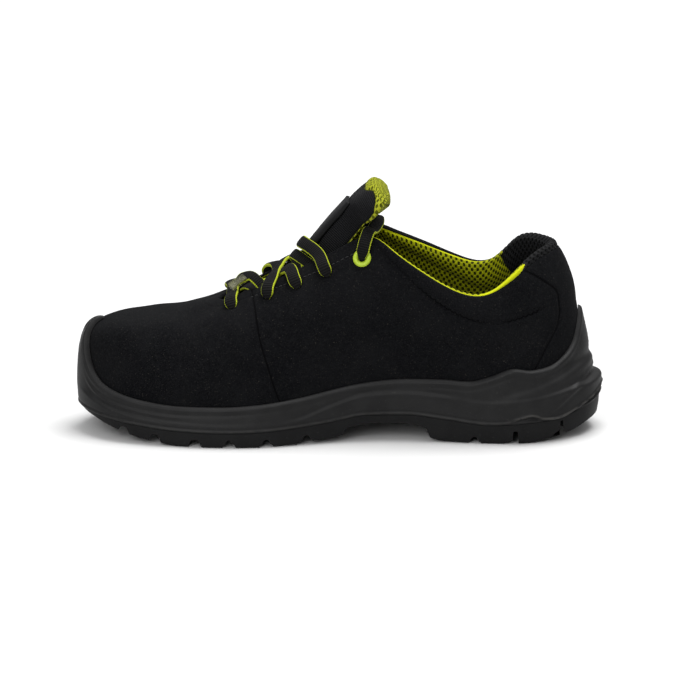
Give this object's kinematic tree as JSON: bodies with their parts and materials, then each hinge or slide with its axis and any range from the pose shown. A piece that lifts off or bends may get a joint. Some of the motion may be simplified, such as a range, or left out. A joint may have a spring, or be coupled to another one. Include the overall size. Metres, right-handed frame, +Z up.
{
  "type": "safety shoe",
  "caption": "Low laced safety shoe for the right foot, with a hollow padded upper, tongue, cup midsole with toe bumper and lugged outsole.",
  "frame": {"origin": "on the floor under the middle of the shoe's length and width", "axes": "+X towards the toe, +Y towards the inner side of the foot, +Z up"},
  "size_m": [0.3008, 0.1064, 0.144],
  "materials": {
    "outsole_rubber": "matt",
    "midsole_rubber": "satin",
    "insole_cloth": "matt",
    "upper_suede": "napped",
    "tongue_cloth": "ribbed",
    "label_plastic": "satin",
    "eyelet_plastic": "satin",
    "lace_cloth": "woven",
    "tip_plastic": "clear"
  },
  "bodies": {
    "root": {"outsole": "outsole_rubber", "midsole": "midsole_rubber", "insole": "insole_cloth", "upper": "upper_suede", "tongue": "tongue_cloth", "tongue_label": "label_plastic", "eyelet_inner": "eyelet_plastic", "eyelet_outer": "eyelet_plastic", "lace_bar_low": "lace_cloth", "lace_cross": "lace_cloth", "lace_bar_high": "lace_cloth", "lace_loop": "lace_cloth", "lace_tip": "tip_plastic"}
  },
  "joints": []
}
